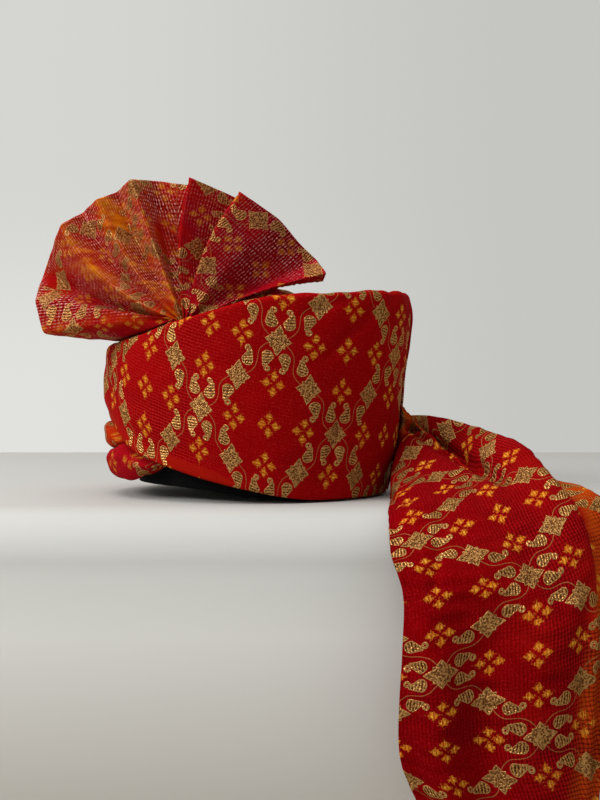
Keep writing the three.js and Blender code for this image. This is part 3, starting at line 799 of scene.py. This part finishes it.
# straight cloth between fold lines; a line runs from its pinched foot to the rim, bowing sideways by 4t(1 - t)
def makeFan():
    folds = len(fanRows) - 1
    index = np.arange(folds + 1)
    foot = fan["foot"] + np.stack([(index - folds / 2) * fan["pitch"], fan["wave"] * np.where(index % 2, -1, 1),
                                   0 * index], -1)
    angle, length, back, bow, deeper, tintRow, weaveRow = fanRows.T
    angle = np.radians(angle)
    along = np.stack([np.cos(angle), 0 * angle, np.sin(angle)], -1)
    aside = np.stack([-np.sin(angle), 0 * angle, np.cos(angle)], -1)
    rim = fan["foot"] + along * length[:, None] + np.stack([0 * back, back, 0 * back], -1)
    v = np.linspace(0, 1, fan["reachSteps"] + 1)[:, None, None]
    reach = np.maximum(0, (v - fan["stem"]) / (1 - fan["stem"]))
    line = lerp(foot, rim, reach) + aside * (bow[:, None] * 4 * reach * (1 - reach))
    deepening = deeper[:, None] * ease(reach, 0.05, 0.5) * (1.3 - 0.3 * reach)
    line = line + np.array([0, fan["deepen"], 0]) * deepening
    line = line - np.array([0, 0, 1.0]) * fan["drop"] * np.maximum(0, 1 - v / fan["stem"])
    place = np.linspace(0, folds, folds * fan["panelSteps"] + 1)
    low = np.minimum(place.astype(int), folds - 1)
    share = (place - low)[None, :, None]
    points = line[:, low] * (1 - share) + line[:, low + 1] * share
    points = eased(points, 2)
    radial, width = arcLength(points, 0), arcLength(points, 1)

    # the print runs up the fan, and across it from the nearest ridge
    ridges = np.array(fan["ridges"])
    nearest = np.abs(place[:, None] - ridges[None, :]).argmin(1)
    column = ridges[nearest] * fan["panelSteps"]
    across = np.array(fan["ridgePlaces"])[nearest][None, :] + width - width[:, column]
    u = radial - fan["drop"] + fan["printStart"]
    # right of the last knife pleat it is turned: measured along that pleat's edge and away from it
    flatX, flatZ = points[..., 0] - fan["foot"][0], points[..., 2] - fan["foot"][2]
    turn = np.radians(fan["rightTurn"])
    s = flatX * np.cos(turn) + flatZ * np.sin(turn) - fan["rightFrom"][0]
    t = flatX * np.sin(turn) - flatZ * np.cos(turn)
    onRight = place[None, :] >= fan["rightStart"] - 0.4
    (alongU, alongV), (acrossU, acrossV) = fan["rightAlong"], fan["rightAcross"]
    u = np.where(onRight, fan["rightFrom"][1] + alongU * s + acrossU * t, u)
    across = np.where(onRight, fan["rightFrom"][2] + alongV * s + acrossV * t, across)

    tint = np.interp(place, index, tintRow)[None, :] + 0.2 * uneven(width, radial * 0.5, 24, 91)
    tint = tint + 0.12 * uneven(width, radial, 11, 92)
    weave = np.interp(place, index, weaveRow)[None, :] * ease(radial, 22, 50)
    crumple = fan["crumple"] * uneven(width, radial * 0.6, fan["crumplePitch"], 93) * ease(radial, 15, 45)
    points = points + normals(points) * crumple[..., None]
    return makePiece("pleated_fan", points, (u, across, np.clip(tint, 0, 1)), fanCloth, "turra_fan",
                     edge=radial[-1:, :] - radial, weave=weave, thickness=shared["sheetThickness"] / 2)


pleatedFan = makeFan()
print("fan made")


# Tail

tail = {
    "rootHeights": [20, 32, 46, 50, 58, 61, 64], "rootHeadings": [-12, -3, 4], "exitHeading": 12,
    "across": 120, "along": 300,
    # X and Z of each crease's two ends, then its depth and width
    "grooves": [(112, 52, 173, 15, 7.0, 4.0), (128, 20, 112, -52, 1.6, 4), (150, 8, 196, -60, 1.8, 5),
                (110, -40, 190, -84, 1.0, 5), (104, -96, 170, -112, 0.9, 4), (120, -132, 210, -150, 0.9, 5)],
    "turnShare": (0.958, 0.097, -256.3), "crossShare": (-0.069, 0.991, -2.5),   # the print's place on the tail
    # depth and pitch of the long folds, the uneven ones and the fine ones
    "longFolds": (2.4, 34), "unevenFolds": (0.5, 22), "fineFolds": (0.42, 9),
}

# sections from the wall to the hem; the columns are edge, front lobe, its crest, crease, rear ridge, tuck and
# selvedge
tailRows = np.array([
    [(104, -24, 6), (109.5, -29, 36), (127, -31, 48), (133, -16, 37), (136, -12, 57.5), (143, 0, 42),
     (144, 6, 20)],
    [(99, -54, -2), (102, -58, 18), (143, -48, 36), (147, -34, 28), (163, -26, 51), (170, -14, 34),
     (174, -8, 12)],
    [(96, -90, -3), (99, -93, 6), (152, -72, 29), (157, -62, 22), (180, -52, 44.5), (189, -44, 30),
     (196, -36, 10)],
    [(93, -122, -3), (98, -124, 2), (158, -98, 19), (166, -92, 18), (194, -84, 35), (200, -76, 22),
     (210, -70, 8)],
    [(90, -154, -10), (98, -153, -5), (150, -132, 8), (172, -122, 12), (201, -114, 20), (202, -104, 15),
     (224, -100, 13)],
    [(89, -174, -26), (102, -173, -23), (150, -164, -14), (178, -152, -8), (212, -142, 0), (213, -130, -3),
     (239, -116, 2)],
    [(95, -182, -48), (112, -185, -46), (150, -182, -42), (182, -174, -38), (216, -162, -28), (219, -150, -32),
     (238, -140, -34)],
    [(94, -186, -84), (116, -190, -82), (150, -184, -80), (180, -190, -76), (208, -180, -72), (216, -172, -72),
     (230, -166, -74)],
    [(92, -187, -118), (117, -192, -118), (148, -184, -116), (178, -190, -114), (204, -182, -112),
     (213, -176, -112), (223, -172, -113)],
    [(93, -186, -148), (118, -190, -150), (148, -184, -150), (176, -189, -150), (202, -182, -150),
     (210, -178, -151), (219, -175, -152)],
    [(106, -184, -182), (124, -188, -186), (150, -183, -190), (176, -188, -193), (200, -182, -195),
     (208, -179, -196), (216, -176, -197)],
], float)


# smooth curves through the sections, along the tail and across it, then folds along its normals
def makeTail():
    under = -(shared["wrapThickness"] + 2 * shared["gap"] + shared["sheetThickness"])
    heights = np.array(tail["rootHeights"], float)
    root = [wallPoint(heights * 0 + heading, heights, under) for heading in tail["rootHeadings"]]
    leaving = wallPoint(heights * 0 + tail["exitHeading"], heights, shared["sheetThickness"] + shared["gap"])
    sections = np.concatenate([np.stack([*root, leaving]), tailRows])
    lengthwise = curveThrough(sections, np.linspace(0, 1, tail["along"] + 1))
    points = curveThrough(np.moveaxis(lengthwise, 1, 0), np.linspace(0, 1, tail["across"] + 1))
    points = np.moveaxis(points, 0, 1)
    across, along = arcLength(points, 1), arcLength(points, 0)
    middle = along[:, tail["across"] // 2][:, None] + 0 * across
    u, v = printPlace(tail, middle, across)
    share = np.linspace(0, 1, tail["across"] + 1)[None, :]
    # long soft folds down the tail, which fade towards the wall, and uneven ones across them
    (longDepth, longPitch), (depth, pitch), (fineDepth, finePitch) = (
        tail[kind] for kind in ("longFolds", "unevenFolds", "fineFolds"))
    folds = longDepth * uneven(share * 150, middle * 0.16, longPitch, 5) * ease(middle, 70, 150)
    folds = folds + depth * uneven(across, middle * 0.7, pitch, 6) * ease(middle, 60, 120)
    folds = folds + fineDepth * uneven(across * 0.4, middle, finePitch, 7) * ease(middle, 50, 110)
    folds = folds + grooves(points[..., 0], points[..., 2], tail["grooves"])
    points = points - normals(points) * folds[..., None]
    fromEnd = across[:, -1:] - across
    tint = 0.95 * ease(-fromEnd, -34, -12) + 0.1 * (1 + uneven(across, middle, 45, 8)) * ease(share, 0.1, 0.6)
    weave = 0.35 + 0.65 * ease(share, 0.2, 0.7)
    return makePiece("tail_cloth", points, (u, v, np.clip(tint, 0, 1)), tailPrint, "tail",
                     weave=weave, thickness=shared["sheetThickness"], turned=True)


tailCloth = makeTail()
print("tail made")


# Stage, light and camera

stage = {"top": -3.4, "back": 556.0, "front": -101.0, "round": 34.0, "faceTop": -50.8, "drop": -900.0,
         "half": 1500.0, "spread": 9000.0, "fade": 240.0,
         # the wall behind: its distance, half its height, and where its colours run across and up
         "behind": 2600.0, "halfHeight": 2500.0, "across": (-950.0, 950.0), "up": (900.0, 100.0)}

# the table's colours by the depth below the origin, as a share of fade: painted light and shade, the top darker,
# lighter down the rounded edge, and the front face darker lower down
tableLightAndShade = [(0.014, srgb(188, 187, 184)), (0.03, srgb(198, 198, 195)), (0.1, srgb(206, 206, 203)),
                (0.2, srgb(228, 228, 225)), (0.36, srgb(238, 237, 233)), (0.8, srgb(207, 202, 195))]
floorColour = srgb(200, 198, 194)
wallColours = {"left": srgb(213, 213, 209), "leftLow": srgb(225, 225, 222), "right": srgb(197, 197, 193)}


# matt paint, coloured by the depth below the origin; on the table these colours are painted light and shade
def stagePaint(name, colours):
    f = Finish(name)
    below = f.parts(f.place())[2] * (-1 / (stage["fade"] * mm))
    return f.surface({"Base Color": f.ramp(below, colours), "Roughness": 0.8, "Specular IOR Level": 0.2})


# paint that glows by itself: lighter on the left, as from a window there, and lightest low on the left
def wallPaint():
    f = Finish("wall_paint")
    x, _, z = f.parts(f.place())
    (lowX, highX), (highZ, lowZ) = stage["across"], stage["up"]
    left = f.mix(z.step(highZ * mm, lowZ * mm), wallColours["left"], wallColours["leftLow"])
    glow = f.mix(x.step(lowX * mm, highX * mm), left, wallColours["right"])
    return f.surface({"Base Color": (0.0, 0.0, 0.0, 1.0), "Emission Color": glow, "Emission Strength": 1.0,
                      "Roughness": 1.0, "Specular IOR Level": 0.0})


# a table with a rounded front edge: flat top, a quarter circle, then a front face
turn = np.radians(np.linspace(0, 90, 25))
faceY = stage["front"] - stage["round"]
profile = np.array([
    (stage["back"], stage["top"]), (0.0, stage["top"]),
    *np.stack([stage["front"] - stage["round"] * np.sin(turn),
               stage["top"] - stage["round"] * (1 - np.cos(turn))], -1),
    (faceY, stage["faceTop"]), (faceY, stage["drop"]),
])
width = np.array([-stage["half"], stage["half"]])
tablePoints = np.stack([np.broadcast_to(width, (len(profile), 2)), np.repeat(profile[:, :1], 2, 1),
                        np.repeat(profile[:, 1:], 2, 1)], -1)
spread = np.array([-stage["spread"], stage["spread"]])
floorPoints = np.stack(np.broadcast_arrays(spread[None, :], spread[:, None], stage["drop"] - 100.0), -1)
upright = np.array([-stage["halfHeight"], stage["halfHeight"]])
wallPoints = np.stack(np.broadcast_arrays(spread[None, :] / 3, stage["behind"], upright[:, None]), -1)
floorPaint = stagePaint("floor_paint", [(0.0, floorColour), (1.0, floorColour)])
for name, points, material in (("table", tablePoints, stagePaint("table_painted_light_and_shade", tableLightAndShade)),
                               ("floor", floorPoints, floorPaint), ("wall", wallPoints, wallPaint())):
    gridObject(name, points, material)

world = bpy.data.worlds.new("room")
bpy.context.scene.world = world
world.use_nodes = True
world.node_tree.nodes["Background"].inputs["Color"].default_value = srgb(214, 214, 209)
world.node_tree.nodes["Background"].inputs["Strength"].default_value = 0.63


# a round lamp at a place, aimed at a target, with its size in metres and its power in watts
def areaLight(name, place, target, size, power, colour=(1.0, 1.0, 1.0)):
    data = bpy.data.lights.new(name, "AREA")
    data.shape, data.size, data.energy, data.color = "DISK", size, power, colour
    light = bpy.data.objects.new(name, data)
    bpy.context.scene.collection.objects.link(light)
    light.location = place
    light.rotation_euler = (Vector(target) - Vector(place)).to_track_quat("-Z", "Y").to_euler()


areaLight("window", (-1.5, -0.9, 1.1), (0.0, -0.05, 0.05), 0.8, 21.0, (1.0, 0.99, 0.97))
areaLight("ceiling", (-0.5, -0.5, 1.9), (0.0, 0.0, 0.0), 1.6, 25.0)

# the photo's height and focal length in pixels, the camera's place, and its sensor along the longer side in mm
photo = {"height": 800, "focal": 933.0, "place": (0.0325, -0.75, 0.07), "sensor": 36.0}
cameraData = bpy.data.cameras.new("camera")
cameraData.sensor_width = photo["sensor"]
cameraData.lens = photo["focal"] / photo["height"] * photo["sensor"]
camera = bpy.data.objects.new("camera", cameraData)
camera.location, camera.rotation_euler = photo["place"], (np.pi / 2, 0, 0)
bpy.context.scene.collection.objects.link(camera)
bpy.context.scene.camera = camera
bpy.context.scene.view_settings.view_transform = "Standard"
print("stage, light and camera made")
